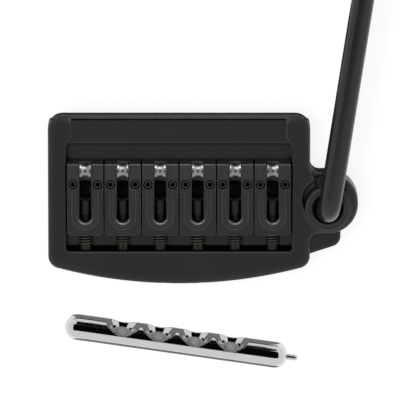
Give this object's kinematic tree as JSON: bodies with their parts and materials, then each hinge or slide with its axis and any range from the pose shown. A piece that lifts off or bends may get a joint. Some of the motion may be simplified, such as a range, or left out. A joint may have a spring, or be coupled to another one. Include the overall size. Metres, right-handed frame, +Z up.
{
  "type": "guitar tremolo bridge",
  "caption": "Satin black tremolo bridge for an electric guitar: a frame rocking on a chrome pivot rail, sliding saddles with string rollers, a sustain block and a bent push-in arm.",
  "frame": {"origin": "middle of the pivot rail's foot, on the guitar's top", "axes": "+X along the pivot rail towards the arm, +Y towards the neck, +Z up out of the guitar's top"},
  "size_m": [0.105, 0.219, 0.0778],
  "materials": {
    "black_frame": "satin black",
    "black_block": "satin black",
    "black_saddle": "satin black",
    "black_arm": "gloss black plating",
    "chrome_rail": "polished",
    "bright_steel": "ground",
    "dark_screw": "blackened",
    "black_nylon": "smooth"
  },
  "bodies": {
    "rail": {"pivot_rail": "chrome_rail", "rail_end_pin": "bright_steel"},
    "bridge": {"bridge_frame": "black_frame", "sustain_block": "black_block", "block_screws": "dark_screw", "arm_collar": "black_frame", "intonation_spring_1": "dark_screw", "intonation_spring_2": "dark_screw", "intonation_spring_3": "dark_screw", "intonation_spring_4": "dark_screw", "intonation_spring_5": "dark_screw", "intonation_spring_6": "dark_screw"},
    "spare_rail": {"spare_rail": "chrome_rail", "spare_rail_pin": "bright_steel"},
    "arm_sleeve": {"arm_sleeve": "black_nylon"},
    "tremolo_arm": {"tremolo_arm": "black_arm"},
    "arm_set_screw": {"arm_set_screw": "dark_screw"},
    "intonation_screw_1": {"intonation_screw_1": "dark_screw"},
    "saddle_1": {"saddle_1": "black_saddle", "roller_axle_1": "bright_steel"},
    "string_roller_1": {"string_roller_1": "chrome_rail"},
    "height_screw_1a": {"height_screw_1a": "dark_screw"},
    "height_screw_1b": {"height_screw_1b": "dark_screw"},
    "intonation_screw_2": {"intonation_screw_2": "dark_screw"},
    "saddle_2": {"saddle_2": "black_saddle", "roller_axle_2": "bright_steel"},
    "string_roller_2": {"string_roller_2": "chrome_rail"},
    "height_screw_2a": {"height_screw_2a": "dark_screw"},
    "height_screw_2b": {"height_screw_2b": "dark_screw"},
    "intonation_screw_3": {"intonation_screw_3": "dark_screw"},
    "saddle_3": {"saddle_3": "black_saddle", "roller_axle_3": "bright_steel"},
    "string_roller_3": {"string_roller_3": "chrome_rail"},
    "height_screw_3a": {"height_screw_3a": "dark_screw"},
    "height_screw_3b": {"height_screw_3b": "dark_screw"},
    "intonation_screw_4": {"intonation_screw_4": "dark_screw"},
    "saddle_4": {"saddle_4": "black_saddle", "roller_axle_4": "bright_steel"},
    "string_roller_4": {"string_roller_4": "chrome_rail"},
    "height_screw_4a": {"height_screw_4a": "dark_screw"},
    "height_screw_4b": {"height_screw_4b": "dark_screw"},
    "intonation_screw_5": {"intonation_screw_5": "dark_screw"},
    "saddle_5": {"saddle_5": "black_saddle", "roller_axle_5": "bright_steel"},
    "string_roller_5": {"string_roller_5": "chrome_rail"},
    "height_screw_5a": {"height_screw_5a": "dark_screw"},
    "height_screw_5b": {"height_screw_5b": "dark_screw"},
    "intonation_screw_6": {"intonation_screw_6": "dark_screw"},
    "saddle_6": {"saddle_6": "black_saddle", "roller_axle_6": "bright_steel"},
    "string_roller_6": {"string_roller_6": "chrome_rail"},
    "height_screw_6a": {"height_screw_6a": "dark_screw"},
    "height_screw_6b": {"height_screw_6b": "dark_screw"}
  },
  "joints": [
    {"name": "tremolo_pivot", "type": "hinge", "parent": "rail", "child": "bridge", "pos_m": [0, 0, 0.0032], "axis": [1, 0, 0], "range_deg": [-18, 2]},
    {"name": "arm_swing", "type": "hinge", "parent": "bridge", "child": "arm_sleeve", "pos_m": [0.0417, -0.0221, 0.0073], "axis": [0, 0, 1], "continuous": true},
    {"name": "arm_pull", "type": "slide", "parent": "arm_sleeve", "child": "tremolo_arm", "axis": [0, 0, 1], "range_m": [0, 0.012]},
    {"name": "arm_set_screw_turn", "type": "hinge", "parent": "bridge", "child": "arm_set_screw", "pos_m": [0.03971, -0.0156, 0.0096], "axis": [-0.2924, 0.9563, 0], "continuous": true},
    {"name": "spare_rail_lift", "type": "slide", "parent": "rail", "child": "spare_rail", "axis": [0, 0, 1], "range_m": [0, 0.06]},
    {"name": "intonation_1", "type": "hinge", "parent": "bridge", "child": "intonation_screw_1", "pos_m": [-0.02625, -0.036, 0.0062], "axis": [0, 1, 0], "range_deg": [-1800, 1080]},
    {"name": "saddle_slide_1", "type": "slide", "parent": "bridge", "child": "saddle_1", "axis": [0, 1, 0], "range_m": [-0.0015, 0.0025], "deforming": ["intonation_spring_1"]},
    {"name": "roller_spin_1", "type": "hinge", "parent": "saddle_1", "child": "string_roller_1", "pos_m": [-0.02625, -0.0114, 0.0106], "axis": [1, 0, 0], "continuous": true},
    {"name": "height_turn_1a", "type": "hinge", "parent": "saddle_1", "child": "height_screw_1a", "pos_m": [-0.0297, -0.0152, 0.008], "axis": [0, 0, 1], "continuous": true},
    {"name": "height_turn_1b", "type": "hinge", "parent": "saddle_1", "child": "height_screw_1b", "pos_m": [-0.0228, -0.0152, 0.008], "axis": [0, 0, 1], "continuous": true},
    {"name": "intonation_2", "type": "hinge", "parent": "bridge", "child": "intonation_screw_2", "pos_m": [-0.01575, -0.036, 0.0062], "axis": [0, 1, 0], "range_deg": [-1800, 1080]},
    {"name": "saddle_slide_2", "type": "slide", "parent": "bridge", "child": "saddle_2", "axis": [0, 1, 0], "range_m": [-0.0015, 0.0025], "deforming": ["intonation_spring_2"]},
    {"name": "roller_spin_2", "type": "hinge", "parent": "saddle_2", "child": "string_roller_2", "pos_m": [-0.01575, -0.0114, 0.0106], "axis": [1, 0, 0], "continuous": true},
    {"name": "height_turn_2a", "type": "hinge", "parent": "saddle_2", "child": "height_screw_2a", "pos_m": [-0.0192, -0.0152, 0.008], "axis": [0, 0, 1], "continuous": true},
    {"name": "height_turn_2b", "type": "hinge", "parent": "saddle_2", "child": "height_screw_2b", "pos_m": [-0.0123, -0.0152, 0.008], "axis": [0, 0, 1], "continuous": true},
    {"name": "intonation_3", "type": "hinge", "parent": "bridge", "child": "intonation_screw_3", "pos_m": [-0.00525, -0.036, 0.0062], "axis": [0, 1, 0], "range_deg": [-1800, 1080]},
    {"name": "saddle_slide_3", "type": "slide", "parent": "bridge", "child": "saddle_3", "axis": [0, 1, 0], "range_m": [-0.0015, 0.0025], "deforming": ["intonation_spring_3"]},
    {"name": "roller_spin_3", "type": "hinge", "parent": "saddle_3", "child": "string_roller_3", "pos_m": [-0.00525, -0.0114, 0.0106], "axis": [1, 0, 0], "continuous": true},
    {"name": "height_turn_3a", "type": "hinge", "parent": "saddle_3", "child": "height_screw_3a", "pos_m": [-0.0087, -0.0152, 0.008], "axis": [0, 0, 1], "continuous": true},
    {"name": "height_turn_3b", "type": "hinge", "parent": "saddle_3", "child": "height_screw_3b", "pos_m": [-0.0018, -0.0152, 0.008], "axis": [0, 0, 1], "continuous": true},
    {"name": "intonation_4", "type": "hinge", "parent": "bridge", "child": "intonation_screw_4", "pos_m": [0.00525, -0.036, 0.0062], "axis": [0, 1, 0], "range_deg": [-1800, 1080]},
    {"name": "saddle_slide_4", "type": "slide", "parent": "bridge", "child": "saddle_4", "axis": [0, 1, 0], "range_m": [-0.0015, 0.0025], "deforming": ["intonation_spring_4"]},
    {"name": "roller_spin_4", "type": "hinge", "parent": "saddle_4", "child": "string_roller_4", "pos_m": [0.00525, -0.0114, 0.0106], "axis": [1, 0, 0], "continuous": true},
    {"name": "height_turn_4a", "type": "hinge", "parent": "saddle_4", "child": "height_screw_4a", "pos_m": [0.0018, -0.0152, 0.008], "axis": [0, 0, 1], "continuous": true},
    {"name": "height_turn_4b", "type": "hinge", "parent": "saddle_4", "child": "height_screw_4b", "pos_m": [0.0087, -0.0152, 0.008], "axis": [0, 0, 1], "continuous": true},
    {"name": "intonation_5", "type": "hinge", "parent": "bridge", "child": "intonation_screw_5", "pos_m": [0.01575, -0.036, 0.0062], "axis": [0, 1, 0], "range_deg": [-1800, 1080]},
    {"name": "saddle_slide_5", "type": "slide", "parent": "bridge", "child": "saddle_5", "axis": [0, 1, 0], "range_m": [-0.0015, 0.0025], "deforming": ["intonation_spring_5"]},
    {"name": "roller_spin_5", "type": "hinge", "parent": "saddle_5", "child": "string_roller_5", "pos_m": [0.01575, -0.0114, 0.0106], "axis": [1, 0, 0], "continuous": true},
    {"name": "height_turn_5a", "type": "hinge", "parent": "saddle_5", "child": "height_screw_5a", "pos_m": [0.0123, -0.0152, 0.008], "axis": [0, 0, 1], "continuous": true},
    {"name": "height_turn_5b", "type": "hinge", "parent": "saddle_5", "child": "height_screw_5b", "pos_m": [0.0192, -0.0152, 0.008], "axis": [0, 0, 1], "continuous": true},
    {"name": "intonation_6", "type": "hinge", "parent": "bridge", "child": "intonation_screw_6", "pos_m": [0.02625, -0.036, 0.0062], "axis": [0, 1, 0], "range_deg": [-1800, 1080]},
    {"name": "saddle_slide_6", "type": "slide", "parent": "bridge", "child": "saddle_6", "axis": [0, 1, 0], "range_m": [-0.0015, 0.0025], "deforming": ["intonation_spring_6"]},
    {"name": "roller_spin_6", "type": "hinge", "parent": "saddle_6", "child": "string_roller_6", "pos_m": [0.02625, -0.0114, 0.0106], "axis": [1, 0, 0], "continuous": true},
    {"name": "height_turn_6a", "type": "hinge", "parent": "saddle_6", "child": "height_screw_6a", "pos_m": [0.0228, -0.0152, 0.008], "axis": [0, 0, 1], "continuous": true},
    {"name": "height_turn_6b", "type": "hinge", "parent": "saddle_6", "child": "height_screw_6b", "pos_m": [0.0297, -0.0152, 0.008], "axis": [0, 0, 1], "continuous": true}
  ],
  "couplings": [
    {"joint": "intonation_1", "follows": "saddle_slide_1", "rad_per_m": -12566},
    {"joint": "intonation_2", "follows": "saddle_slide_2", "rad_per_m": -12566},
    {"joint": "intonation_3", "follows": "saddle_slide_3", "rad_per_m": -12566},
    {"joint": "intonation_4", "follows": "saddle_slide_4", "rad_per_m": -12566},
    {"joint": "intonation_5", "follows": "saddle_slide_5", "rad_per_m": -12566},
    {"joint": "intonation_6", "follows": "saddle_slide_6", "rad_per_m": -12566}
  ]
}
